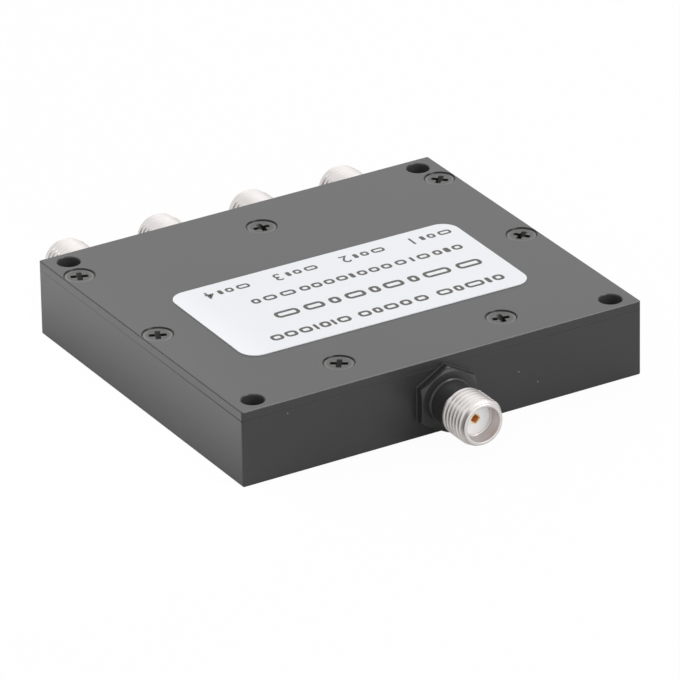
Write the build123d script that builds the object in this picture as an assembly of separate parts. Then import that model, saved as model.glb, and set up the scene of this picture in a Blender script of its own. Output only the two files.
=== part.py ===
from build123d import *
from math import cos, radians, tan
import os

# A four-way RF power splitter: a machined metal box with a screwed lid, one input jack in the front
# wall and four output jacks in the rear wall. Inside, a printed divider tree on a board joins them.
# Millimetres. X runs along the front wall, +Y points to the outputs, Z is up.
# The origin is the centre of the base.

# Box
box_width = 57.2
box_depth = 50.6
housing_height = 8.9
lid_thickness = 1.25
side_wall = 4.4
end_wall = 4.0
floor_thickness = 3.3
cutter_radius = 1.2
outer_corner_radius = 0.25
edge_break = 0.1
seam_break = 0.03

# Mounting holes, through lid and housing
mount_hole_diameter = 2.9
mount_hole_break = 0.12
mount_hole_inset_x = 2.95
mount_hole_inset_y = 2.4

# Countersunk lid screws, M2. The turn of each driver recess is as each screw was left.
lid_screw_diameter = 2.0
lid_screw_length = 5.0
lid_screw_head_diameter = 3.7
countersink_diameter = 4.1
side_screw_inset = 2.2
rear_screw_inset = 6.5
front_screw_inset = 5.5
front_screw_pitch = 23.3
middle_screw_y = -1.0
lid_screw_turns = [67, 87, 45, 65, 35, 55, 78]
pillar_diameter = 4.4

# Pan-head screws that hold the board, M2
board_screw_diameter = 2.0
board_screw_length = 2.6
board_screw_head_diameter = 3.5
board_screw_head_height = 1.3
board_screw_head_slope = 0.45
board_screw_inset = 2.3
side_board_screw_rows = [-12.5, 4.5]
middle_board_screw_rows = [3.5, 11.5]

# Cross-shaped driver recesses
recess_span = 2.3
recess_wing_width = 0.7
recess_depth = 0.9
recess_tip_radius = 0.4

# Screw fits
shank_clearance = 0.15
thread_gap = 0.05
seat_gap = 0.03
screw_tip_chamfer = 0.25
tapped_hole_runout = 0.4

# Adhesive label, stuck on a little askew
label_width = 41.0
label_depth = 20.5
label_thickness = 0.1
label_corner_radius = 2.3
label_centre_y = -3.0
label_skew = -0.5

# Board and the copper on it
board_gap = 0.3
board_thickness = 0.8
copper_thickness = 0.07
line_width = 1.5
branch_width = 0.9
branch_gap = 0.7
pad_width = 1.9
pad_length = 2.6
input_line_length = 2.6
first_ring_radius = 3.1
second_ring_radius = 2.6
stage_link_length = 2.4

# Chip resistors that bridge the branches
resistor_length = 1.6
resistor_width = 0.8
resistor_height = 0.45

# Jacks: lengths are measured outwards from the wall, diameters are outside unless named as bores
output_inset = 8.35
jack_length = 9.15
hex_flats = 7.9
hex_thickness = 1.3
hex_face_diameter = 7.86
hex_chamfer_angle = 30
collar_diameter = 6.0
collar_length = 0.2
collar_slope = 0.14
neck_diameter = 5.6
neck_end = 4.5
thread_diameter = 6.35
thread_end_chamfer = 0.35
thread_length = 3.9
lead_diameter = 5.5
rim_break = 0.1
socket_bore_diameter = 4.62
socket_bore_depth = 1.95
socket_mouth_break = 0.12
stub_diameter = 5.5
dielectric_diameter = 4.1
contact_diameter = 1.27
contact_bore_diameter = 0.94
contact_bore_depth = 2.9
contact_slot_width = 0.2
contact_slot_depth = 2.2
contact_mouth_break = 0.08
tail_diameter = 0.9
tail_length = 2.0
fit_gap = 0.02

# Solder round each tail
solder_width = 1.6
solder_length = 2.0
solder_height = 0.62
solder_overrun = 0.5
solder_slope = 22

# Heights and walls that the pieces share
inner_x = box_width / 2 - side_wall
inner_y = box_depth / 2 - end_wall
board_top = floor_thickness + board_thickness
copper_top = board_top + copper_thickness
jack_height = copper_top + tail_diameter / 2
output_pitch = (box_width - 2 * output_inset) / 3
lid_top = housing_height + lid_thickness

FROM_BASE = (Align.CENTER, Align.CENTER, Align.MIN)
FROM_TOP = (Align.CENTER, Align.CENTER, Align.MAX)


def save(shape, node):
    export_step(shape, "parts/" + node + ".step")


def mirrored_corners(x, y):
    return [(-x, -y), (x, -y), (-x, y), (x, y)]


def mount_hole_places():
    return mirrored_corners(box_width / 2 - mount_hole_inset_x, box_depth / 2 - mount_hole_inset_y)


def pillar_places():
    rear_y = box_depth / 2 - rear_screw_inset
    front_y = front_screw_inset - box_depth / 2
    return [(0, rear_y), (-front_screw_pitch / 2, front_y), (front_screw_pitch / 2, front_y)]


def lid_screw_places():
    """Rear row from left to right, then the two at the sides, then the front pair."""
    side_x = box_width / 2 - side_screw_inset
    rear, front_left, front_right = pillar_places()
    rear_y = rear[1]
    sides = [(-side_x, middle_screw_y), (side_x, middle_screw_y)]
    return [(-side_x, rear_y), rear, (side_x, rear_y)] + sides + [front_left, front_right]


def board_screw_places():
    """Two beside each side wall and two on the centre line, all clear of the copper."""
    side_x = inner_x - board_screw_inset
    places = [(x, y) for y in side_board_screw_rows for x in (-side_x, side_x)]
    return places + [(0, y) for y in middle_board_screw_rows]


def second_split_places():
    """The first split's arms end midway between the outputs of each pair."""
    return [-output_pitch, output_pitch]


def output_places():
    """Output 1 is on the right, seen from the front."""
    return [step * output_pitch for step in (1.5, 0.5, -0.5, -1.5)]


# Housing: a block with a pocket milled from above
def pocket_outline():
    """The pocket's plan, with a pillar left standing for each lid screw inside the walls."""
    outline = Rectangle(2 * inner_x, 2 * inner_y)
    for x, y in pillar_places():
        wall_y = inner_y if y > 0 else -inner_y
        outline -= Pos(x, y) * Circle(pillar_diameter / 2)
        outline -= Pos(x, (y + wall_y) / 2) * Rectangle(pillar_diameter, abs(wall_y - y))
    wall_corners = [v for v in outline.vertices() if abs(abs(v.Y) - inner_y) < 0.001]
    return fillet(wall_corners, cutter_radius)


def outer_block(height, base_break, top_break):
    block = Box(box_width, box_depth, height, align=FROM_BASE)
    block = fillet(block.edges().filter_by(Axis.Z), outer_corner_radius)
    block = chamfer(block.edges().group_by(Axis.Z)[0], base_break)
    return chamfer(block.edges().group_by(Axis.Z)[-1], top_break)


def make_housing():
    body = outer_block(housing_height, edge_break, seam_break)
    pocket = extrude(pocket_outline(), housing_height - floor_thickness)
    body -= Pos(0, 0, floor_thickness) * pocket
    mount_hole = Cylinder(mount_hole_diameter / 2, housing_height, align=FROM_BASE)
    body -= [Pos(x, y) * mount_hole for x, y in mount_hole_places()]
    lid_screw_reach = lid_screw_length + tapped_hole_runout - lid_thickness
    lid_tap = Cylinder(lid_screw_diameter / 2 + thread_gap, lid_screw_reach, align=FROM_TOP)
    body -= [Pos(x, y, housing_height) * lid_tap for x, y in lid_screw_places()]
    board_screw_reach = board_screw_length + tapped_hole_runout - board_thickness
    board_tap = Cylinder(board_screw_diameter / 2 + thread_gap, board_screw_reach, align=FROM_TOP)
    body -= [Pos(x, y, floor_thickness) * board_tap for x, y in board_screw_places()]
    jack_hole = Pos(0, 0, -end_wall) * Cylinder(stub_diameter / 2 + fit_gap, end_wall, align=FROM_BASE)
    body -= [place * jack_hole for place in jack_seats()]
    return body


# Lid: a flat plate that covers the whole top
def make_lid():
    plate = Pos(0, 0, housing_height) * outer_block(lid_thickness, seam_break, edge_break)
    mount_radius = mount_hole_diameter / 2
    mount_hole = Cylinder(mount_radius, lid_thickness, align=FROM_TOP)
    mount_hole += Cone(mount_radius, mount_radius + mount_hole_break, mount_hole_break, align=FROM_TOP)
    plate -= [Pos(x, y, lid_top) * mount_hole for x, y in mount_hole_places()]
    hole_radius = lid_screw_diameter / 2 + shank_clearance
    sink_depth = countersink_diameter / 2 - hole_radius
    screw_hole = Cylinder(hole_radius, lid_thickness, align=FROM_TOP)
    screw_hole += Cone(hole_radius, countersink_diameter / 2, sink_depth, align=FROM_TOP)
    plate -= [Pos(x, y, lid_top) * screw_hole for x, y in lid_screw_places()]
    return plate


def make_label():
    sheet = extrude(RectangleRounded(label_width, label_depth, label_corner_radius), label_thickness)
    return Pos(0, label_centre_y, lid_top) * Rot(0, 0, label_skew) * sheet


# Screws: the top of each head is at z = 0 before it is placed
def driver_recess():
    """A cross whose wings run in under a cone towards the tip."""
    wings = Box(recess_span, recess_wing_width, recess_depth, align=FROM_TOP)
    wings += Box(recess_wing_width, recess_span, recess_depth, align=FROM_TOP)
    return wings & Cone(recess_tip_radius, recess_span / 2, recess_depth, align=FROM_TOP)


def turned(points):
    """A body turned about Z from half of its section, given as (radius, height) points."""
    outline = Polyline([(r, 0, z) for r, z in points], close=True)
    return revolve(make_face(outline), Axis.Z)


def lid_screw():
    head = lid_screw_head_diameter / 2
    shank = lid_screw_diameter / 2
    tip = -lid_screw_length
    section = [(0, 0), (head, 0), (shank, shank - head), (shank, tip + screw_tip_chamfer)]
    section += [(shank - screw_tip_chamfer, tip), (0, tip)]
    return turned(section) - driver_recess()


def make_lid_screws():
    head_depth = (countersink_diameter - lid_screw_head_diameter) / 2 - seat_gap
    screw = lid_screw()
    placed = []
    for (x, y), turn in zip(lid_screw_places(), lid_screw_turns):
        placed.append(Pos(x, y, lid_top - head_depth) * Rot(0, 0, turn) * screw)
    return Compound(children=placed)


def board_screw():
    head = board_screw_head_diameter / 2
    shank = board_screw_diameter / 2
    seat = -board_screw_head_height
    tip = seat - board_screw_length
    section = [(0, 0), (head - board_screw_head_slope, 0), (head, -board_screw_head_slope), (head, seat)]
    section += [(shank, seat), (shank, tip + screw_tip_chamfer), (shank - screw_tip_chamfer, tip), (0, tip)]
    return turned(section) - driver_recess()


def make_board_screws():
    screw = board_screw()
    top = board_top + board_screw_head_height
    return Compound(children=[Pos(x, y, top) * screw for x, y in board_screw_places()])


# Board: laminate cut to the pocket's plan, held to the floor
def make_circuit_board():
    sheet = extrude(offset(pocket_outline(), -board_gap), board_thickness)
    board = Pos(0, 0, floor_thickness) * sheet
    screw_hole = Cylinder(board_screw_diameter / 2 + shank_clearance, board_thickness, align=FROM_BASE)
    return board - [Pos(x, y, floor_thickness) * screw_hole for x, y in board_screw_places()]


# Divider tree: copper lines that split the input in two, twice
def line_along_y(x, start, end):
    return Pos(x, (start + end) / 2) * SlotCenterToCenter(end - start, line_width, rotation=90)


def ring_pair(x, start, radius):
    """Two rings in a row; past the junction at their near end a gap keeps left and right apart."""
    ring = Circle(radius + branch_width / 2) - Circle(radius - branch_width / 2)
    pair = Pos(x, start + radius) * ring + Pos(x, start + 3 * radius) * ring
    gap_start = start + branch_width
    gap_end = start + 4 * radius + line_width
    return pair, Pos(x, (gap_start + gap_end) / 2) * Rectangle(branch_gap, gap_end - gap_start)


def splitter_stage(x, start, radius, pull):
    """One two-way split: a ring pair, then arms that run out to x - pull and x + pull."""
    pair, gap = ring_pair(x, start, radius)
    arms = Pos(x, start + 4 * radius) * SlotCenterToCenter(2 * pull, line_width)
    return pair + arms - gap


def stage_starts():
    """Where the first and second splits begin along Y."""
    first = -inner_y + board_gap + pad_length + input_line_length
    second = first + 4 * first_ring_radius + stage_link_length
    return first, second


def make_divider_traces():
    first, second = stage_starts()
    pad = Rectangle(pad_width, pad_length)
    edge = inner_y - board_gap - fit_gap
    copper = line_along_y(0, -edge + pad_length / 2, first)
    copper += Pos(0, -edge + pad_length / 2) * pad
    copper += splitter_stage(0, first, first_ring_radius, output_pitch)
    second_end = second + 4 * second_ring_radius
    for x in second_split_places():
        copper += line_along_y(x, first + 4 * first_ring_radius, second)
        copper += splitter_stage(x, second, second_ring_radius, output_pitch / 2)
    for x in output_places():
        copper += line_along_y(x, second_end, edge - pad_length / 2)
        copper += Pos(x, edge - pad_length / 2) * pad
    return Pos(0, 0, board_top) * extrude(copper, copper_thickness)


def make_isolation_resistors():
    """One at the far end of each ring, across the gap."""
    first, second = stage_starts()
    chip = Box(resistor_length, resistor_width, resistor_height, align=FROM_BASE)
    spots = [(0, first + turn * first_ring_radius) for turn in (2, 4)]
    for x in second_split_places():
        spots += [(x, second + turn * second_ring_radius) for turn in (2, 4)]
    return Compound(children=[Pos(x, y, copper_top) * chip for x, y in spots])


# Jacks: each piece is built along +Z from the wall's outer face at z = 0, with +Y up
def jack_seats():
    """The input's seat in the front wall, then the outputs' in the rear wall."""
    seats = [Pos(0, -box_depth / 2, jack_height) * Rot(90, 0, 0)]
    for x in output_places():
        seats.append(Pos(x, box_depth / 2, jack_height) * Rot(0, 0, 180) * Rot(90, 0, 0))
    return seats


def hex_flange():
    """A six-sided flange with two corners up and down, its outer face turned back at the corners."""
    prism = extrude(RegularPolygon(hex_flats / 2, 6, major_radius=False, rotation=30), hex_thickness)
    face = hex_face_diameter / 2
    corner = hex_flats / 2 / cos(radians(180 / 6))
    drop = (corner - face) * tan(radians(hex_chamfer_angle))
    section = [(0, 0), (corner, 0), (corner, hex_thickness - drop), (face, hex_thickness), (0, hex_thickness)]
    return prism & turned(section)


def jack_shell():
    bore = dielectric_diameter / 2
    stub = stub_diameter / 2
    collar = collar_diameter / 2
    collar_end = hex_thickness + collar_length
    neck = neck_diameter / 2
    thread = thread_diameter / 2
    lead = lead_diameter / 2
    socket = socket_bore_diameter / 2
    thread_end = neck_end + thread_length
    outside = [(stub, -end_wall), (stub, 0), (collar, 0), (collar, collar_end - collar_slope)]
    outside += [(neck, collar_end), (neck, neck_end)]
    outside += [(thread - thread_end_chamfer, neck_end), (thread, neck_end + thread_end_chamfer)]
    outside += [(thread, thread_end), (lead, thread_end + thread - lead)]
    outside += [(lead, jack_length - rim_break), (lead - rim_break, jack_length)]
    inside = [(socket + socket_mouth_break, jack_length), (socket, jack_length - socket_mouth_break)]
    inside += [(socket, jack_length - socket_bore_depth), (bore, jack_length - socket_bore_depth)]
    inside += [(bore, -end_wall)]
    body = turned(outside + inside)
    flange = hex_flange() - Cylinder(collar, hex_thickness, align=FROM_BASE)
    return body + flange


def jack_dielectric():
    outer = dielectric_diameter / 2 - fit_gap
    inner = contact_diameter / 2 + fit_gap
    face = jack_length - socket_bore_depth
    return turned([(inner, -end_wall), (outer, -end_wall), (outer, face), (inner, face)])


def jack_contact():
    """A turned pin: a slotted spring socket at the outer end, a thin tail at the inner end."""
    rod = contact_diameter / 2
    bore = contact_bore_diameter / 2
    tail = tail_diameter / 2
    face = jack_length - socket_bore_depth
    tail_end = -end_wall - tail_length
    section = [(0, tail_end), (tail, tail_end), (tail, -end_wall), (rod, -end_wall), (rod, face)]
    section += [(bore + contact_mouth_break, face), (bore, face - contact_mouth_break)]
    section += [(bore, face - contact_bore_depth), (0, face - contact_bore_depth)]
    slot = Box(contact_slot_width, contact_diameter, contact_slot_depth, align=FROM_TOP)
    slots = slot + Rot(0, 0, 90) * slot
    return turned(section) - Pos(0, 0, face) * slots


# Solder: a sloped bead over each tail's end, down to its pad
def make_solder_joints():
    foot = -tail_diameter / 2
    tip = -end_wall - tail_length
    bead = Rot(-90, 0, 0) * extrude(Rectangle(solder_width, solder_length), solder_height, taper=solder_slope)
    bead = Pos(0, foot, tip - solder_overrun + solder_length / 2) * bead
    bead -= Pos(0, 0, tip) * Cylinder(tail_diameter / 2 + fit_gap, tail_length, align=FROM_BASE)
    return Compound(children=[seat * bead for seat in jack_seats()])


save(make_housing(), "housing")
save(make_lid(), "lid")
save(make_label(), "label")
save(make_lid_screws(), "lid_screws")
save(make_circuit_board(), "circuit_board")
save(make_divider_traces(), "divider_traces")
save(make_isolation_resistors(), "isolation_resistors")
save(make_board_screws(), "board_screws")
save(make_solder_joints(), "solder_joints")

jack_names = ["input", "output_1", "output_2", "output_3", "output_4"]
for name, seat in zip(jack_names, jack_seats()):
    save(seat * jack_shell(), name + "_shell")
    save(seat * jack_dielectric(), name + "_dielectric")
    save(seat * jack_contact(), name + "_contact")
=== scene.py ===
from math import cos, degrees, pi, radians, sin, tan

import bmesh
import bpy
from mathutils import Matrix, Vector


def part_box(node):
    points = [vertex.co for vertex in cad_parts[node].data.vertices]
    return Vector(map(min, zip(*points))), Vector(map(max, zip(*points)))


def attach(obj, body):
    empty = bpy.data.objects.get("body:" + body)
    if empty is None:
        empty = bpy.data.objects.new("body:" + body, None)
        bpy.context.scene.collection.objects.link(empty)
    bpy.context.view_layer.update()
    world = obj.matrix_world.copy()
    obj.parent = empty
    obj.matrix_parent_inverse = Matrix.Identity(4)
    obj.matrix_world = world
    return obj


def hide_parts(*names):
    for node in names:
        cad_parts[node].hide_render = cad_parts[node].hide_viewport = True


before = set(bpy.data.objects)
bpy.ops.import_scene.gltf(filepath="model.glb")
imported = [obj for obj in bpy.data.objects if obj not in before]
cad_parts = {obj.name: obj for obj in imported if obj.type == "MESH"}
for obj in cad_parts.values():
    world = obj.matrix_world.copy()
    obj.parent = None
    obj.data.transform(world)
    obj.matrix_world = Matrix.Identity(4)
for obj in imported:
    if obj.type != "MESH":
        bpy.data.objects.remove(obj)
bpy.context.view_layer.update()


# Stage. The splitter stands on a pale studio table in front of white paper, under soft boxes, and is
# looked down on from the left of its input side through a long lens.
def linear(hex_colour):
    """The linear colour, with alpha, of an sRGB hex value."""
    channels = [int(hex_colour[i:i + 2], 16) / 255 for i in (1, 3, 5)]
    return [c / 12.92 if c <= 0.04045 else ((c + 0.055) / 1.055) ** 2.4 for c in channels] + [1]


def add(tree, kind, values=None, links=None):
    """Adds a node. values holds its own settings and unlinked inputs, links the outputs that feed it."""
    node = tree.nodes.new(kind)
    for key, value in (values or {}).items():
        if isinstance(key, str) and hasattr(node, key):
            setattr(node, key, value)
        else:
            node.inputs[key].default_value = value
    for key, output in (links or {}).items():
        tree.links.new(output, node.inputs[key])
    return node


def seen_share(tree, direct, mirrored):
    """The share of its own white that a thing shows: directly or through glass, and in polished surfaces."""
    path = add(tree, "ShaderNodeLightPath").outputs
    through = {0: path["Is Camera Ray"], 1: path["Is Transmission Ray"]}
    through = add(tree, "ShaderNodeMath", {"operation": "MAXIMUM"}, through)
    through = add(tree, "ShaderNodeMath", {"operation": "MULTIPLY", 1: direct}, {0: through.outputs[0]})
    polished = add(tree, "ShaderNodeMath", {"operation": "MULTIPLY", 1: mirrored}, {0: path["Is Glossy Ray"]})
    both = {0: through.outputs[0], 1: polished.outputs[0]}
    return add(tree, "ShaderNodeMath", {"operation": "MAXIMUM"}, both).outputs[0]


# The table reaches 3 m each way, and lies 0.01 mm under the splitter.
MM = 0.001
WHITE = linear("#FFFFFF")
room_light = 0.68
table_colour = linear("#F0F0F0")
table_white = 0.96
table_mirrored = 0.10
table_reach = 3
table_drop = 0.01

world = bpy.data.worlds.new("studio_room")
world.use_nodes = True
tree = world.node_tree
tree.nodes.clear()
room = add(tree, "ShaderNodeBackground", {"Color": WHITE, "Strength": room_light})
paper = add(tree, "ShaderNodeBackground", {"Color": WHITE, "Strength": 1})
views = {0: seen_share(tree, 1, 1), 1: room.outputs[0], 2: paper.outputs[0]}
backdrop = add(tree, "ShaderNodeMixShader", links=views)
add(tree, "ShaderNodeOutputWorld", links={"Surface": backdrop.outputs[0]})
bpy.context.scene.world = world

# Pale table paint: an even light grey that keeps the splitter's shadow.
table_top = bpy.data.materials.new("pale_table_paint")
table_top.use_nodes = True
tree = table_top.node_tree
tree.nodes.clear()
matt = add(tree, "ShaderNodeBsdfDiffuse", {"Color": table_colour})
glow = add(tree, "ShaderNodeEmission", {"Color": WHITE, "Strength": 1})
views = {0: seen_share(tree, table_white, table_mirrored), 1: matt.outputs[0], 2: glow.outputs[0]}
lit = add(tree, "ShaderNodeMixShader", links=views)
add(tree, "ShaderNodeOutputMaterial", links={"Surface": lit.outputs[0]})

bm = bmesh.new()
bmesh.ops.create_grid(bm, x_segments=1, y_segments=1, size=table_reach)
bmesh.ops.translate(bm, vec=(0, 0, -table_drop * MM), verts=bm.verts)
mesh = bpy.data.meshes.new("table")
bm.to_mesh(mesh)
bm.free()
mesh.materials.append(table_top)
table = bpy.data.objects.new("table", mesh)
bpy.context.scene.collection.objects.link(table)

# Each soft box: where it hangs from the splitter (m), its side (m) and its power (W).
soft_boxes = {
    "key_front_right": ((0.36, -0.36, 0.62), 0.26, 1.4),
    "front_fill": ((0.30, -0.90, 0.25), 0.75, 2.2),
    "over_the_top": ((-0.10, 0.15, 0.95), 0.70, 0.6),
    "behind": ((0.50, 0.85, 0.50), 0.80, 1.1),
}
for name, (place, side, power) in soft_boxes.items():
    lamp = bpy.data.lights.new(name, "AREA")
    lamp.shape = "SQUARE"
    lamp.size = side
    lamp.energy = power
    holder = bpy.data.objects.new(name, lamp)
    holder.location = place
    holder.rotation_euler = Vector(place).to_track_quat("Z", "Y").to_euler()
    bpy.context.scene.collection.objects.link(holder)

# One more hangs low and narrow over the table on the left. It lights little but the table there, which
# the box's left face mirrors.
lamp = bpy.data.lights.new("table_at_left", "AREA")
lamp.shape = "RECTANGLE"
lamp.size = 0.03
lamp.size_y = 0.10
lamp.spread = radians(25)
lamp.energy = 0.0115
holder = bpy.data.objects.new("table_at_left", lamp)
holder.location = (-0.047, 0.022, 0.10)
bpy.context.scene.collection.objects.link(holder)

# Where the camera stands (m), and how it is turned (degrees).
camera_place = (-0.43957, -0.74992, 0.42932)
camera_turn = (63.8102, 0.9424, -30.8495)
lens = bpy.data.cameras.new("camera")
lens.sensor_width = 36
lens.lens = 409.8
lens.clip_start = 0.05
lens.clip_end = 20
camera = bpy.data.objects.new("camera", lens)
camera.location = camera_place
camera.rotation_euler = [radians(turn) for turn in camera_turn]
bpy.context.scene.collection.objects.link(camera)
bpy.context.scene.camera = camera
bpy.context.scene.view_settings.view_transform = "Standard"


# Housing and lid. A machined aluminium box, 57 by 51 mm, and the plate screwed over it, sprayed matt
# black together after the jacks went in, with a few specks of dust caught in the paint.
def new_finish(name, values):
    """A new material, its node tree, its shader with the plain values set, and its surface coordinates."""
    material = bpy.data.materials.new(name)
    material.use_nodes = True
    tree = material.node_tree
    shader = tree.nodes["Principled BSDF"]
    for socket, value in values.items():
        shader.inputs[socket].default_value = value
    return material, tree, shader.inputs, add(tree, "ShaderNodeTexCoord").outputs["Object"]


def dress(node_name, material):
    """Puts the finish on a piece that keeps its own shape."""
    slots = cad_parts[node_name].data.materials
    slots.clear()
    slots.append(material)


def fade(fades, full, most=1):
    """The settings of a tone that starts at one place (mm), and has its most from another place on."""
    return {"From Min": fades * MM, "From Max": full * MM, "To Max": most}


def nearest_reach(tree, point, places):
    """The way from a point of the surface to the nearest of some places, which are given in mm."""
    nearest = None
    for place in places:
        away = {"operation": "DISTANCE", 1: [v * MM for v in place]}
        away = add(tree, "ShaderNodeVectorMath", away, {0: point}).outputs["Value"]
        if nearest is None:
            nearest = away
        else:
            pair = {0: nearest, 1: away}
            nearest = add(tree, "ShaderNodeMath", {"operation": "MINIMUM"}, pair).outputs[0]
    return nearest


# Each tone below starts where its fades value says, and is full where its full value says (mm). These
# run from a hole's axis, from the seam, in from the sides, or along X, Y or Z.
lid_low, lid_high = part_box("lid")
half_width = lid_high.x / MM
half_depth = lid_high.y / MM
lid_top = lid_high.z / MM
below_fades = lid_top - 0.005
below_full = lid_top - 0.03

paint_dark = linear("#2A2A2A")
paint_light = linear("#2E2E2E")
paint_grain = 0.18
paint_cloud = 9.0
paint_gloss = 0.5

speck_colour = linear("#8A8884")
speck_radius = 0.10
speck_full = 0.6 * speck_radius
specks = [(-22.2, -25.3, 8.35), (10.75, -25.3, 5.1), (13.5, -25.3, 3.0), (-28.5, 5.2, 10.05),
          (-28.5, -6.5, 10.05)]

mount_hole_x = 25.65
mount_hole_y = 22.9
mount_hole_radius = 1.45
hole_painted_tone = linear("#484848")
hole_dulled = 0.8
hole_fades = mount_hole_radius + 0.09
hole_full = mount_hole_radius + 0.05

seam_height = lid_low.z / MM
seam_shade_colour = linear("#0E0E0E")
seam_fades = 0.16
seam_full = 0.04
seam_darkest = 0.6
left_fades = 0.10 - half_width
left_full = 0.02 - half_width
forward_fades = 8
forward_full = -24

gap_fades = 0.05
gap_full = 0.035
gap_dulled = 0.67
front_fades = 0.20 - half_depth
front_full = 0.10 - half_depth

glint_fades = 0.045
glint_full = 0.03
glint_gloss = 0.4
rearward_fades = -20
rearward_full = 4

countersink_shade_colour = linear("#1C1C1C")
countersink_dulled = 0.6
inside_fades = 0.15
inside_full = 0.20
off_hole_fades = mount_hole_radius + 0.15
off_hole_full = mount_hole_radius + 0.17

# Matt black enamel: near black, dull, with a fine dry grain that spreads each reflection into a haze.
enamel, tree, shader, surface = new_finish("matt_black_enamel", {"Roughness": 0.30, "IOR": 1.50})
spot = add(tree, "ShaderNodeSeparateXYZ", links={0: surface}).outputs
cloud = add(tree, "ShaderNodeTexNoise", {"Scale": 1 / (paint_cloud * MM), "Detail": 3}, {"Vector": surface})
tone = add(tree, "ShaderNodeMix", {"data_type": "RGBA", 6: paint_dark, 7: paint_light}, {0: cloud.outputs[0]})

# The specks are pale and round.
away = nearest_reach(tree, surface, specks)
speck = add(tree, "ShaderNodeMapRange", fade(speck_radius, speck_full), {"Value": away})
marked = {0: speck.outputs[0], 6: tone.outputs[2]}
marked = add(tree, "ShaderNodeMix", {"data_type": "RGBA", 7: speck_colour}, marked)

# Painted light and shade: inside the mounting holes the colour is paler than the paint, and further on their
# gloss is cut. They are alike on both sides of both middle planes, so one place stands for all four.
mirrored = add(tree, "ShaderNodeVectorMath", {"operation": "ABSOLUTE"}, {0: surface}).outputs[0]
flattened = {"operation": "MULTIPLY", 1: (1, 1, 0)}
flattened = add(tree, "ShaderNodeVectorMath", flattened, {0: mirrored}).outputs[0]
axis_away = nearest_reach(tree, flattened, [(mount_hole_x, mount_hole_y, 0)])
in_hole = add(tree, "ShaderNodeMapRange", fade(hole_fades, hole_full), {"Value": axis_away}).outputs[0]
below_top = add(tree, "ShaderNodeMapRange", fade(below_fades, below_full), {"Value": spot["Z"]}).outputs[0]
in_hole = add(tree, "ShaderNodeMath", {"operation": "MULTIPLY"}, {0: in_hole, 1: below_top}).outputs[0]
hole_painted = {0: in_hole, 6: marked.outputs[2]}
hole_painted = add(tree, "ShaderNodeMix", {"data_type": "RGBA", 7: hole_painted_tone}, hole_painted)

# On the left face the seam under the lid is drawn as a dark line of painted shade that grows stronger towards
# the front.
off_seam = {"operation": "SUBTRACT", 1: seam_height * MM}
off_seam = add(tree, "ShaderNodeMath", off_seam, {0: spot["Z"]}).outputs[0]
off_seam = add(tree, "ShaderNodeMath", {"operation": "ABSOLUTE"}, {0: off_seam}).outputs[0]
on_seam = add(tree, "ShaderNodeMapRange", fade(seam_fades, seam_full), {"Value": off_seam}).outputs[0]
on_left = add(tree, "ShaderNodeMapRange", fade(left_fades, left_full), {"Value": spot["X"]}).outputs[0]
forward = fade(forward_fades, forward_full, seam_darkest)
forward = add(tree, "ShaderNodeMapRange", forward, {"Value": spot["Y"]}).outputs[0]
seam_shade = add(tree, "ShaderNodeMath", {"operation": "MULTIPLY"}, {0: on_seam, 1: on_left}).outputs[0]
seam_shade = add(tree, "ShaderNodeMath", {"operation": "MULTIPLY"}, {0: seam_shade, 1: forward}).outputs[0]
seam_shaded = {0: seam_shade, 6: hole_painted.outputs[2]}
seam_shaded = add(tree, "ShaderNodeMix", {"data_type": "RGBA", 7: seam_shade_colour}, seam_shaded)

# What lies below the lid's face and inside its outline, away from the mounting holes, is a countersink or the
# inside: there the colour is painted darker, as painted shade.
sides = add(tree, "ShaderNodeSeparateXYZ", links={0: flattened}).outputs
inside_x = fade(half_width - inside_fades, half_width - inside_full)
inside_x = add(tree, "ShaderNodeMapRange", inside_x, {"Value": sides["X"]}).outputs[0]
inside_y = fade(half_depth - inside_fades, half_depth - inside_full)
inside_y = add(tree, "ShaderNodeMapRange", inside_y, {"Value": sides["Y"]}).outputs[0]
off_hole = fade(off_hole_fades, off_hole_full)
off_hole = add(tree, "ShaderNodeMapRange", off_hole, {"Value": axis_away}).outputs[0]
countersink_shade = add(tree, "ShaderNodeMath", {"operation": "MULTIPLY"}, {0: inside_x, 1: inside_y}).outputs[0]
countersink_shade = add(tree, "ShaderNodeMath", {"operation": "MULTIPLY"}, {0: countersink_shade, 1: below_top}).outputs[0]
countersink_shade = add(tree, "ShaderNodeMath", {"operation": "MULTIPLY"}, {0: countersink_shade, 1: off_hole}).outputs[0]
shade_mixed = {0: countersink_shade, 6: seam_shaded.outputs[2]}
shade_mixed = add(tree, "ShaderNodeMix", {"data_type": "RGBA", 7: countersink_shade_colour}, shade_mixed)
tree.links.new(shade_mixed.outputs[2], shader["Base Color"])

# Painted shade: the gloss is cut in the seam, on the front face too, in the countersinks and in the mounting
# holes.
in_seam = add(tree, "ShaderNodeMapRange", fade(gap_fades, gap_full), {"Value": off_seam}).outputs[0]
on_front = fade(front_fades, front_full, gap_dulled)
on_front = add(tree, "ShaderNodeMapRange", on_front, {"Value": spot["Y"]}).outputs[0]
in_seam = add(tree, "ShaderNodeMath", {"operation": "MULTIPLY"}, {0: in_seam, 1: on_front}).outputs[0]
shaded = add(tree, "ShaderNodeMath", {"operation": "MAXIMUM"}, {0: seam_shade, 1: in_seam}).outputs[0]
countersink_shade = add(tree, "ShaderNodeMath", {"operation": "MULTIPLY", 1: countersink_dulled}, {0: countersink_shade}).outputs[0]
shaded = add(tree, "ShaderNodeMath", {"operation": "MAXIMUM"}, {0: shaded, 1: countersink_shade}).outputs[0]
in_hole = add(tree, "ShaderNodeMath", {"operation": "MULTIPLY", 1: hole_dulled}, {0: in_hole}).outputs[0]
shaded = add(tree, "ShaderNodeMath", {"operation": "MAXIMUM"}, {0: shaded, 1: in_hole}).outputs[0]
gloss = add(tree, "ShaderNodeMapRange", {"To Min": paint_gloss, "To Max": 0}, {"Value": shaded}).outputs[0]

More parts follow.
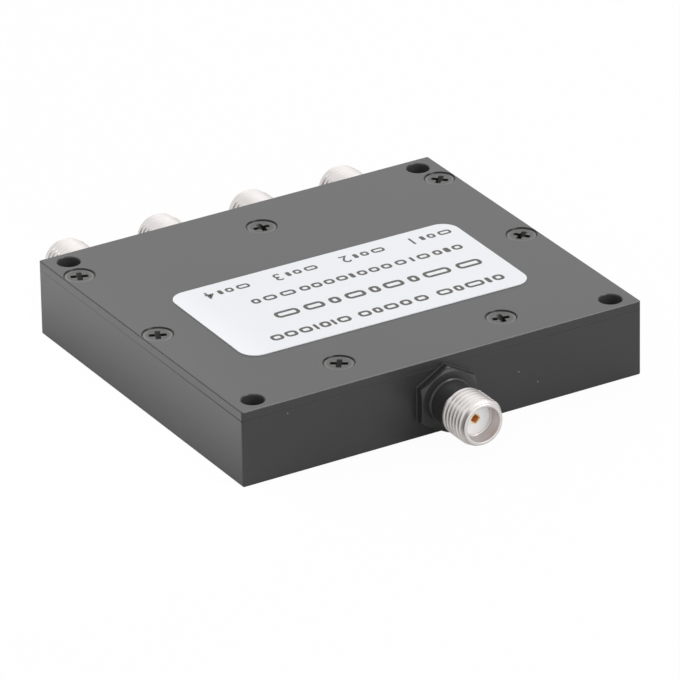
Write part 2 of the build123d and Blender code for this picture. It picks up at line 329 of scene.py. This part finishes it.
# Towards the rear of the left face the paint bridges the seam, and shines there in a fine line.
glint = add(tree, "ShaderNodeMapRange", fade(glint_fades, glint_full), {"Value": off_seam}).outputs[0]
rearward = fade(rearward_fades, rearward_full, glint_gloss)
rearward = add(tree, "ShaderNodeMapRange", rearward, {"Value": spot["Y"]}).outputs[0]
glint = add(tree, "ShaderNodeMath", {"operation": "MULTIPLY"}, {0: glint, 1: on_left}).outputs[0]
glint = add(tree, "ShaderNodeMath", {"operation": "MULTIPLY"}, {0: glint, 1: rearward}).outputs[0]
gloss = add(tree, "ShaderNodeMath", {"operation": "ADD"}, {0: gloss, 1: glint}).outputs[0]
tree.links.new(gloss, shader["Specular IOR Level"])

grain = add(tree, "ShaderNodeTexNoise", {"Scale": 1 / (paint_grain * MM), "Detail": 2}, {"Vector": surface})
relief = add(tree, "ShaderNodeBump", {"Strength": 0.25, "Distance": 0.004 * MM}, {"Height": grain.outputs[0]})
tree.links.new(relief.outputs[0], shader["Normal"])
dress("housing", enamel)
dress("lid", enamel)

# Lid screws. Seven M2 steel screws with countersunk heads and a cross recess, blackened, each left at
# the turn where it came tight.
head_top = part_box("lid_screws")[1].z / MM
recess_fades = head_top - 0.02
recess_full = head_top - 0.08
recess_shade_colour = linear("#202020")
recess_gloss = 0.3
rim_highlight_colour = linear("#565553")
rim_fades = 1.45
rim_full = 1.65
oxide_dark = linear("#242424")
oxide_light = linear("#33322F")
oxide_patch = 0.8
oxide_gloss = 0.5
screw_places = [(26.4, 18.8, 0), (0, 18.8, 0), (26.4, -1.0, 0), (11.65, -19.8, 0)]

# Black oxide on steel: dark and even in gloss, patchy where the driver rubbed it, with a painted highlight as
# a paler rim round each head, and painted shade in the cross recess. The screws stand alike on both sides of
# the middle, so one side's places stand for both.
oxide, tree, shader, surface = new_finish("black_oxide_steel", {"Roughness": 0.32, "IOR": 1.5})
patch = add(tree, "ShaderNodeTexNoise", {"Scale": 1 / (oxide_patch * MM), "Detail": 4}, {"Vector": surface})
tone = add(tree, "ShaderNodeMix", {"data_type": "RGBA", 6: oxide_dark, 7: oxide_light}, {0: patch.outputs[0]})
spot = add(tree, "ShaderNodeSeparateXYZ", links={0: surface}).outputs
# Painted shade: the cross recess is drawn darker and less glossy.
recess_shade = fade(recess_fades, recess_full)
recess_shade = add(tree, "ShaderNodeMapRange", recess_shade, {"Value": spot["Z"]}).outputs[0]
across = add(tree, "ShaderNodeMath", {"operation": "ABSOLUTE"}, {0: spot["X"]}).outputs[0]
folded = add(tree, "ShaderNodeCombineXYZ", links={0: across, 1: spot["Y"]}).outputs[0]
away = nearest_reach(tree, folded, screw_places)
# Painted highlight: a paler rim round each head.
rim_highlight = add(tree, "ShaderNodeMapRange", fade(rim_fades, rim_full), {"Value": away}).outputs[0]
rim_highlighted = {0: rim_highlight, 6: tone.outputs[2]}
rim_highlighted = add(tree, "ShaderNodeMix", {"data_type": "RGBA", 7: rim_highlight_colour}, rim_highlighted)
shade_mixed = {0: recess_shade, 6: rim_highlighted.outputs[2]}
shade_mixed = add(tree, "ShaderNodeMix", {"data_type": "RGBA", 7: recess_shade_colour}, shade_mixed)
tree.links.new(shade_mixed.outputs[2], shader["Base Color"])
gloss = {"To Min": oxide_gloss, "To Max": recess_gloss}
gloss = add(tree, "ShaderNodeMapRange", gloss, {"Value": recess_shade}).outputs[0]
tree.links.new(gloss, shader["Specular IOR Level"])
relief = add(tree, "ShaderNodeBump", {"Strength": 0.2, "Distance": 0.003 * MM}, {"Height": patch.outputs[0]})
tree.links.new(relief.outputs[0], shader["Normal"])
dress("lid_screws", oxide)


# Label. White polyester film with rounded corners, stuck on the lid a little askew, and printed in
# warm grey: the output numbers near the rear edge, and rows of rounded frames and blocks.
def rounded_panel(width, depth, corner, height, stroke=None, segments=10):
    """A panel with rounded corners that stands on z = 0, or, with a stroke, a frame with bars that wide."""
    bm = bmesh.new()
    bmesh.ops.create_grid(bm, x_segments=1, y_segments=1, size=0.5)
    bmesh.ops.scale(bm, vec=(width, depth, 1), verts=bm.verts)
    bmesh.ops.bevel(bm, geom=bm.verts[:], offset=corner, affect="VERTICES", segments=segments, profile=0.5,
                    material=-1)
    if stroke:
        middle = bm.faces[:]
        bmesh.ops.inset_region(bm, faces=middle, thickness=stroke, use_boundary=True, use_even_offset=True)
        bmesh.ops.delete(bm, geom=middle, context="FACES_ONLY")
    top = bmesh.ops.extrude_face_region(bm, geom=bm.faces[:])["geom"]
    raised = [v for v in top if isinstance(v, bmesh.types.BMVert)]
    bmesh.ops.translate(bm, vec=(0, 0, height), verts=raised)
    bmesh.ops.recalc_face_normals(bm, faces=bm.faces)
    return bm


def gathered(parts):
    """One bmesh from several."""
    whole = bmesh.new()
    for part in parts:
        mesh = bpy.data.meshes.new("part")
        part.to_mesh(mesh)
        part.free()
        whole.from_mesh(mesh)
        bpy.data.meshes.remove(mesh)
    return whole


crease_angle = 30


def new_piece(name, bm, place, finishes, replaced=None):
    """Turns a bmesh in millimetres into a piece that rides with the box, in place of its own plain solid."""
    bm.transform(Matrix.Scale(MM, 4) @ place)
    mesh = bpy.data.meshes.new(name)
    bm.to_mesh(mesh)
    bm.free()
    for finish in finishes:
        mesh.materials.append(finish)
    mesh.polygons.foreach_set("use_smooth", [True] * len(mesh.polygons))
    mesh.set_sharp_from_angle(angle=radians(crease_angle))
    piece = bpy.data.objects.new(name, mesh)
    bpy.context.scene.collection.objects.link(piece)
    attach(piece, "root")
    if replaced:
        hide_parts(replaced)


label_width = 41.0
label_depth = 20.5
label_corner = 2.3
label_skew = -0.5
film_ripple = 6
ink_thickness = 0.008
ink_dots = 0.4

label_low, label_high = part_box("label")
label_middle = (label_low + label_high) / 2 / MM
label_bottom = label_low.z / MM
film_thickness = (label_high.z - label_low.z) / MM - ink_thickness
askew = Matrix.Rotation(radians(label_skew), 4, "Z")
on_lid = Matrix.Translation((label_middle.x, label_middle.y, label_bottom)) @ askew
on_film = on_lid @ Matrix.Translation((0, 0, film_thickness))

# Satin polyester film: cool white, nearly smooth, with a slow ripple from the adhesive under it.
film, tree, shader, surface = new_finish("white_polyester_film", {"Roughness": 0.4, "IOR": 1.5})
cloud = add(tree, "ShaderNodeTexNoise", {"Scale": 1 / (film_ripple * MM), "Detail": 2}, {"Vector": surface})
tints = {"data_type": "RGBA", 6: linear("#E6E8EC"), 7: linear("#E9EBEE")}
tone = add(tree, "ShaderNodeMix", tints, {0: cloud.outputs[0]})
tree.links.new(tone.outputs[2], shader["Base Color"])
relief = add(tree, "ShaderNodeBump", {"Strength": 0.1, "Distance": 0.02 * MM}, {"Height": cloud.outputs[0]})
tree.links.new(relief.outputs[0], shader["Normal"])
new_piece("label_film", rounded_panel(label_width, label_depth, label_corner, film_thickness),
          on_lid, [film], "label")

# Warm grey ink: flat and dull, a shade uneven like a fine dot print.
ink, tree, shader, surface = new_finish("warm_grey_ink", {"Roughness": 0.6, "IOR": 1.5})
dots = add(tree, "ShaderNodeTexNoise", {"Scale": 1 / (ink_dots * MM), "Detail": 2}, {"Vector": surface})
tints = {"data_type": "RGBA", 6: linear("#504D49"), 7: linear("#5C5854")}
tone = add(tree, "ShaderNodeMix", tints, {0: dots.outputs[0]})
tree.links.new(tone.outputs[2], shader["Base Color"])

number_places = {"1": 13.5, "2": 3.75, "3": -6.0, "4": -15.75}
number_row = 4.7
number_height = 1.9
figure_share = 0.72
figure_thickening = 0.02
figure_weld = 0.0005
word = [1.8, 0.5, 1.1, 0.45, 0.6, 5.3]
block_corner = 0.4
block_segments = 6
stroke_share = 0.28
shortest_frame = 2.6

# Each row: its middle, its height and its right end, then the lengths of ink and of gap by turns,
# leftwards. A length of ink under 2.6 strokes is a full block, and a longer one is a frame.
print_rows = [
    (number_row, 1.15, 19.2, 4 * word),
    (0.1, 1.3, 18.1, [1.4, 0.4, 0.8, 0.4, 1.2, 0.6, 1.7, 0.6, 0.4, 0.7, 1.5, 0.6, 1.4, 0.4, 1.4, 0.4, 1.3,
                      0.5, 0.6, 0.4, 1.5, 0.4, 1.4, 0.4, 1.4, 0.3, 1.4, 0.7, 2.1, 0.6, 1.8, 0.5, 1.2]),
    (-4.8, 1.7, 17.9, [3.5, 1.0, 3.8, 0.8, 1.4, 0.8, 2.8, 0.6, 1.4, 0.7, 2.8, 0.8, 1.5, 0.8, 2.8, 0.8, 3.4]),
    (-10.1, 1.5, 18.0, [1.5, 0.4, 0.6, 0.4, 2.6, 0.4, 1.2, 0.4, 2.1, 1.4, 1.8, 0.6, 1.5, 0.4, 1.9, 0.4, 1.2,
                        0.4, 1.7, 1.2, 1.8, 0.4, 0.4, 0.3, 1.4, 0.4, 0.4, 0.4, 1.7, 0.4, 1.7, 0.3, 1.7]),
]
printed = []
for y, height, right, lengths in print_rows:
    stroke = stroke_share * height
    for turn, length in enumerate(lengths):
        if turn % 2 == 0:
            bars = stroke if length > shortest_frame * stroke else None
            corner = block_corner * min(length, height)
            block = rounded_panel(length, height, corner, ink_thickness, bars, block_segments)
            bmesh.ops.translate(block, vec=(right - length / 2, y - label_middle.y, 0), verts=block.verts)
            printed.append(block)
        right -= length
for number, x in number_places.items():
    letters = bpy.data.curves.new("number", "FONT")
    letters.body = number
    letters.size = number_height / figure_share
    letters.align_x = "CENTER"
    letters.align_y = "CENTER"
    letters.extrude = ink_thickness / 2
    letters.offset = figure_thickening
    writing = bpy.data.objects.new("number", letters)
    mesh = bpy.data.meshes.new_from_object(writing)
    figure = bmesh.new()
    figure.from_mesh(mesh)
    bpy.data.objects.remove(writing)
    bpy.data.curves.remove(letters)
    bpy.data.meshes.remove(mesh)
    read_from_the_rear = Matrix.Rotation(pi, 4, "Z")
    spot = Matrix.Translation((x, number_row - label_middle.y, ink_thickness / 2))
    figure.transform(spot @ read_from_the_rear)
    bmesh.ops.remove_doubles(figure, verts=figure.verts, dist=figure_weld)
    bmesh.ops.recalc_face_normals(figure, faces=figure.faces)
    printed.append(figure)
new_piece("label_print", gathered(printed), on_film, [ink])

# Inside. A laminate board carries the gilt copper tree, with chip resistors across its gaps. Six
# screws hold it down, and solder joins each jack's tail to its pad.

# Pale matt laminate, warm bright copper, glossy black chips, bright screws and solder, each a little
# mottled. Each row: the finish, its two tones, how metallic and how rough it is, and its mottling (mm).
inside_finishes = {
    "circuit_board": ("glass_laminate", "#C9BC93", "#D6CBA6", 0, 0.55, 0.5),
    "divider_traces": ("gilt_copper", "#D8A848", "#E2B85E", 1, 0.30, 0.3),
    "isolation_resistors": ("glazed_chip", "#1D1D20", "#2A2A2D", 0, 0.25, 0.4),
    "board_screws": ("nickel_plated_steel", "#B9B6AE", "#C6C3BC", 1, 0.28, 0.5),
    "solder_joints": ("bright_solder", "#B8B9BB", "#C9CACC", 1, 0.33, 0.3),
}
for node_name, (name, dark, light, metallic, roughness, spread) in inside_finishes.items():
    finish, tree, shader, surface = new_finish(name, {"Roughness": roughness, "Metallic": metallic})
    mottle = add(tree, "ShaderNodeTexNoise", {"Scale": 1 / (spread * MM), "Detail": 3}, {"Vector": surface})
    tints = {"data_type": "RGBA", 6: linear(dark), 7: linear(light)}
    tone = add(tree, "ShaderNodeMix", tints, {0: mottle.outputs[0]})
    tree.links.new(tone.outputs[2], shader["Base Color"])
    dress(node_name, finish)


# Jacks. Each shell is one turned steel piece, pressed into the wall: a six-sided flange, a plain neck
# and a threaded barrel with an open socket. The paint stops at the thread, and the barrel is bare.
def turned(section, steps):
    """A ring turned about Z from its closed section of (radius, height) points."""
    bm = bmesh.new()
    corners = [bm.verts.new((radius, 0, height)) for radius, height in section]
    edges = [bm.edges.new(pair) for pair in zip(corners, corners[1:] + corners[:1])]
    bmesh.ops.spin(bm, geom=corners + edges, cent=(0, 0, 0), axis=(0, 0, 1), dvec=(0, 0, 0),
                   angle=2 * pi, steps=steps, use_merge=True)
    bmesh.ops.recalc_face_normals(bm, faces=bm.faces)
    return bm


def break_edges(bm, width):
    """Rounds every sharp edge."""
    sharp = [e for e in bm.edges if e.calc_face_angle(0) > radians(sharp_turn)]
    bmesh.ops.bevel(bm, geom=sharp, offset=width, affect="EDGES", segments=2, profile=0.5, material=-1)


def cut_off(bm, place, outward):
    """Cuts away what lies beyond a plane and closes the cut."""
    cut = bmesh.ops.bisect_plane(bm, geom=bm.verts[:] + bm.edges[:] + bm.faces[:], dist=0.0001,
                                 plane_co=place, plane_no=outward, clear_outer=True)
    rim = [e for e in cut["geom_cut"] if isinstance(e, bmesh.types.BMEdge)]
    bmesh.ops.contextual_create(bm, geom=rim)
    bmesh.ops.recalc_face_normals(bm, faces=bm.faces)


# Lengths run outwards from the wall (mm), and angles are in degrees.
wall = 4.0
stub_radius = 2.75
hex_flats = 7.9
hex_corner = hex_flats / 2 / cos(pi / 6)
hex_face_radius = 3.93
hex_thickness = 1.3
hex_chamfer = 30
hex_edge = 0.05
hex_steps = 120
collar_radius = 3.0
collar_length = 0.2
collar_slope = 0.14
neck_radius = 2.8
neck_end = 4.5
barrel_end = 9.15
barrel_edge = 0.035
barrel_steps = 96
lead_radius = 2.75
rim_break = 0.1
socket_radius = 2.31
socket_depth = 1.95
socket_floor = barrel_end - socket_depth
socket_edge = 0.05
socket_foot = 0.14
insulator_radius = 2.05
sharp_turn = 25
overlap = 0.1
bead_width = 0.10
input_low, input_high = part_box("input_shell")
input_x = (input_low.x + input_high.x) / 2 / MM
input_end = input_low.y / MM
jack_height = (input_low.z + input_high.z) / 2 / MM


def flange():
    """A disc turned back at its rim, then milled to six flats, with a corner at the top."""
    drop = (hex_corner - hex_face_radius) * tan(radians(hex_chamfer))
    inner = neck_radius - overlap
    bm = turned([(inner, 0), (hex_corner, 0), (hex_corner, hex_thickness - drop),
                 (hex_face_radius, hex_thickness), (inner, hex_thickness)], hex_steps)
    for turn in range(6):
        outward = Vector((cos(turn * pi / 3), sin(turn * pi / 3), 0))
        cut_off(bm, outward * hex_flats / 2, outward)
    break_edges(bm, hex_edge)
    return bm


def paint_bead():
    """The fillet of paint that gathers where the flange stands on the wall, down to the wall's lower edge."""
    bm = bmesh.new()
    bmesh.ops.create_cone(bm, cap_ends=True, segments=6, radius1=hex_corner + bead_width, radius2=hex_corner,
                          depth=bead_width)
    bmesh.ops.translate(bm, vec=(0, 0, bead_width / 2), verts=bm.verts)
    cut_off(bm, (0, -jack_height, 0), (0, -1, 0))
    return bm


thread_radius = 3.175
thread_root_radius = 3.0
thread_depth = thread_radius - thread_root_radius
thread_pitch = 25.4 / 36
thread_start = neck_end + 0.05
thread_end = 8.575
thread_crest = 0.42 * thread_pitch
thread_flank = 30
thread_foot = thread_crest + 2 * thread_depth * tan(radians(thread_flank))
thread_overrun = 0.12
thread_fade_turns = 0.3
thread_buried = thread_root_radius - 0.05
thread_steps = 72

# Up to the first angle from the top the ridge keeps only this share of its height, and from the second
# angle on it is whole (degrees).
worn_height = 0.12
worn_until = 37
whole_from = 50


def barrel():
    """The stub in the wall, the neck and the barrel with its socket, at the thread's root."""
    outside = [(stub_radius, -wall), (stub_radius, 0), (collar_radius, 0)]
    outside += [(collar_radius, hex_thickness + collar_length - collar_slope)]
    outside += [(neck_radius, hex_thickness + collar_length), (neck_radius, neck_end)]
    outside += [(thread_root_radius, thread_start), (thread_root_radius, thread_end)]
    outside += [(lead_radius, thread_end + thread_root_radius - lead_radius)]
    outside += [(lead_radius, barrel_end - rim_break), (lead_radius - rim_break, barrel_end)]
    inside = [(socket_radius + socket_edge, barrel_end), (socket_radius, barrel_end - socket_edge)]
    inside += [(socket_radius, socket_floor + socket_foot), (socket_radius - socket_foot, socket_floor)]
    inside += [(insulator_radius, socket_floor), (insulator_radius, -wall)]
    bm = turned(outside + inside, barrel_steps)
    break_edges(bm, barrel_edge)
    return bm


def thread_ridge(start_angle):
    """A right-hand ridge of 60 degrees along the barrel, cut level at both ends and low over the top."""
    start = thread_start - thread_pitch
    turns = (thread_end - thread_foot / 2 + thread_overrun - start) / thread_pitch
    half_foot = thread_foot / 2
    half_crest = thread_crest / 2
    section = [(thread_buried, -half_foot), (thread_root_radius, -half_foot), (thread_radius, -half_crest),
               (thread_radius, half_crest), (thread_root_radius, half_foot), (thread_buried, half_foot)]
    bm = bmesh.new()
    face = bm.faces.new([bm.verts.new((radius, 0, start + height)) for radius, height in section])
    steps = round(turns * thread_steps)
    bmesh.ops.spin(bm, geom=[face], cent=(0, 0, 0), axis=(0, 0, 1), dvec=(0, 0, turns * thread_pitch / steps),
                   angle=turns * 2 * pi, steps=steps)
    for vert in bm.verts:
        radius = vert.co.xy.length
        angle = vert.co.xy.angle_signed(Vector((1, 0))) if radius else 0
        along = (vert.co.z - start) / thread_pitch
        turn = angle / (2 * pi) + round(along - angle / (2 * pi))
        top = thread_root_radius + thread_depth * min(1, max(0, (turns - turn) / thread_fade_turns))
        top = min(top, thread_root_radius + thread_end - vert.co.z)
        if radius > top:
            vert.co.xy *= max(top, thread_buried) / radius
    cut_off(bm, (0, 0, thread_start), (0, 0, -1))
    cut_off(bm, (0, 0, thread_end), (0, 0, 1))
    bmesh.ops.rotate(bm, cent=(0, 0, 0), matrix=Matrix.Rotation(radians(start_angle), 3, "Z"), verts=bm.verts)
    for vert in bm.verts:
        radius = vert.co.xy.length
        from_top = degrees(vert.co.xy.angle(Vector((0, 1))))
        share = min(1, max(0, (from_top - worn_until) / (whole_from - worn_until)))
        share = worn_height + (1 - worn_height) * share * share * (3 - 2 * share)
        if radius > thread_root_radius:
            vert.co.xy *= (thread_root_radius + (radius - thread_root_radius) * share) / radius
    return bm


# Passivated stainless steel: bright warm grey, with the tool's rings round the barrel, and a painted dark
# reflection on the left of the input's rim. The real rings are finer, and are drawn 0.06 mm apart so that
# they show.
ring_pitch = 0.06
steel_cloud = 1.5
dark_reflection_colour = linear("#75706E")
reflection_middle = input_end + 0.32
reflection_width = 0.27
reflection_core = 0.6 * reflection_width
reflection_strength = 0.85
reflection_fades = input_x - 1.6
reflection_full = input_x - 2.2
reflection_low = jack_height - 1.2
reflection_high = jack_height + 0.3
reflection_least = 0.25
steel, tree, shader, surface = new_finish("turned_stainless_steel", {"Metallic": 1, "Roughness": 0.45})
rings = add(tree, "ShaderNodeMapping", {"Scale": (0, 1 / (ring_pitch * MM), 0)}, {"Vector": surface})
tool = add(tree, "ShaderNodeTexNoise", {"Scale": 1, "Detail": 2}, {"Vector": rings.outputs[0]})
cloud = add(tree, "ShaderNodeTexNoise", {"Scale": 1 / (steel_cloud * MM), "Detail": 3}, {"Vector": surface})
tints = {"data_type": "RGBA", 6: linear("#D2CDCA"), 7: linear("#E0DCDA")}
tone = add(tree, "ShaderNodeMix", tints, {0: cloud.outputs[0]})
spot = add(tree, "ShaderNodeSeparateXYZ", links={0: surface}).outputs
# Painted reflection: a dark band just behind the input's rim, on its left, weaker lower down.
off_lead = {"operation": "SUBTRACT", 1: reflection_middle * MM}
off_lead = add(tree, "ShaderNodeMath", off_lead, {0: spot["Y"]}).outputs[0]
off_lead = add(tree, "ShaderNodeMath", {"operation": "ABSOLUTE"}, {0: off_lead}).outputs[0]
on_lead = add(tree, "ShaderNodeMapRange", fade(reflection_width, reflection_core), {"Value": off_lead}).outputs[0]
at_left = fade(reflection_fades, reflection_full, reflection_strength)
at_left = add(tree, "ShaderNodeMapRange", at_left, {"Value": spot["X"]}).outputs[0]
upward = {**fade(reflection_low, reflection_high), "To Min": reflection_least}
upward = add(tree, "ShaderNodeMapRange", upward, {"Value": spot["Z"]}).outputs[0]
reflected = add(tree, "ShaderNodeMath", {"operation": "MULTIPLY"}, {0: on_lead, 1: at_left}).outputs[0]
reflected = add(tree, "ShaderNodeMath", {"operation": "MULTIPLY"}, {0: reflected, 1: upward}).outputs[0]
reflection_mixed = {0: reflected, 6: tone.outputs[2]}
reflection_mixed = add(tree, "ShaderNodeMix", {"data_type": "RGBA", 7: dark_reflection_colour}, reflection_mixed)
tree.links.new(reflection_mixed.outputs[2], shader["Base Color"])
relief = add(tree, "ShaderNodeBump", {"Strength": 0.06, "Distance": 0.002 * MM}, {"Height": tool.outputs[0]})
tree.links.new(relief.outputs[0], shader["Normal"])

# The same steel inside the socket, left duller and darker by the boring tool, in rings that are drawn
# 0.2 mm apart so that they show.
bored_ring_pitch = 0.2
bored_steel, tree, shader, surface = new_finish("bored_stainless_steel", {"Metallic": 1, "Roughness": 0.40})
rings = add(tree, "ShaderNodeMapping", {"Scale": (0, 1 / (bored_ring_pitch * MM), 0)}, {"Vector": surface})
tool = add(tree, "ShaderNodeTexNoise", {"Scale": 1, "Detail": 1}, {"Vector": rings.outputs[0]})
tints = {"data_type": "RGBA", 6: linear("#B4ADAA"), 7: linear("#E6E0DE")}
tone = add(tree, "ShaderNodeMix", tints, {0: tool.outputs[0]})
tree.links.new(tone.outputs[2], shader["Base Color"])
relief = add(tree, "ShaderNodeBump", {"Strength": 0.3, "Distance": 0.01 * MM}, {"Height": tool.outputs[0]})
tree.links.new(relief.outputs[0], shader["Normal"])

# Fluoropolymer insulator: waxy cool white, cut flat, with the faintest cloud in it.
waxy_cloud = 0.7
waxy, tree, shader, surface = new_finish("white_fluoropolymer", {"Roughness": 0.5, "IOR": 1.35})
cloud = add(tree, "ShaderNodeTexNoise", {"Scale": 1 / (waxy_cloud * MM), "Detail": 2}, {"Vector": surface})
tints = {"data_type": "RGBA", 6: linear("#F5F7F7"), 7: linear("#FAFBFB")}
tone = add(tree, "ShaderNodeMix", tints, {0: cloud.outputs[0]})
tree.links.new(tone.outputs[2], shader["Base Color"])

# Gilt contact: gold over beryllium copper, deep orange inside its bore, and drawn pale on its end face as a
# painted highlight.
gilt_cloud = 0.3
end_highlight_colour = linear("#FFE2B8")
contact_end = -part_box("input_contact")[0].y / MM
end_highlight_fades = contact_end - 0.06
end_highlight_full = contact_end - 0.01
gilt, tree, shader, surface = new_finish("gilt_contact", {"Metallic": 0.25, "Roughness": 0.35})
cloud = add(tree, "ShaderNodeTexNoise", {"Scale": 1 / (gilt_cloud * MM), "Detail": 2}, {"Vector": surface})
tints = {"data_type": "RGBA", 6: linear("#FFB762"), 7: linear("#FFCC84")}
tone = add(tree, "ShaderNodeMix", tints, {0: cloud.outputs[0]})
spot = add(tree, "ShaderNodeSeparateXYZ", links={0: surface}).outputs
outward = add(tree, "ShaderNodeMath", {"operation": "ABSOLUTE"}, {0: spot["Y"]}).outputs[0]
at_end = add(tree, "ShaderNodeMapRange", fade(end_highlight_fades, end_highlight_full), {"Value": outward}).outputs[0]
end_highlighted = {0: at_end, 6: tone.outputs[2]}
end_highlighted = add(tree, "ShaderNodeMix", {"data_type": "RGBA", 7: end_highlight_colour}, end_highlighted)
tree.links.new(end_highlighted.outputs[2], shader["Base Color"])

# Each thread starts at its own place round the barrel (degrees). The bare steel starts just behind the
# neck's end, and the bored steel just outside the socket's wall and under its floor.
first_turns = {"input": 56, "output_1": 30, "output_2": 140, "output_3": 290, "output_4": 75}
bare_from = neck_end - 0.01
bored_within = socket_radius + 0.02
bored_from = socket_floor - 0.1
for name, first_turn in first_turns.items():
    low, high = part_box(name + "_shell")
    front = name == "input"
    axis = (low + high) / 2 / MM
    wall_y = low.y / MM + barrel_end if front else high.y / MM - barrel_end
    facing = Matrix.Rotation(pi / 2, 4, "X")
    if not front:
        facing = Matrix.Rotation(pi, 4, "Z") @ facing
    shell = gathered([flange(), paint_bead(), barrel(), thread_ridge(first_turn)])
    for face in shell.faces:
        middle = face.calc_center_median()
        bored = middle.xy.length < bored_within and middle.z > bored_from
        face.material_index = 2 if bored else int(middle.z > bare_from)
    place = Matrix.Translation((axis.x, wall_y, axis.z)) @ facing
    new_piece(name + "_jack_shell", shell, place, [enamel, steel, bored_steel], name + "_shell")
    dress(name + "_dielectric", waxy)
    dress(name + "_contact", gilt)
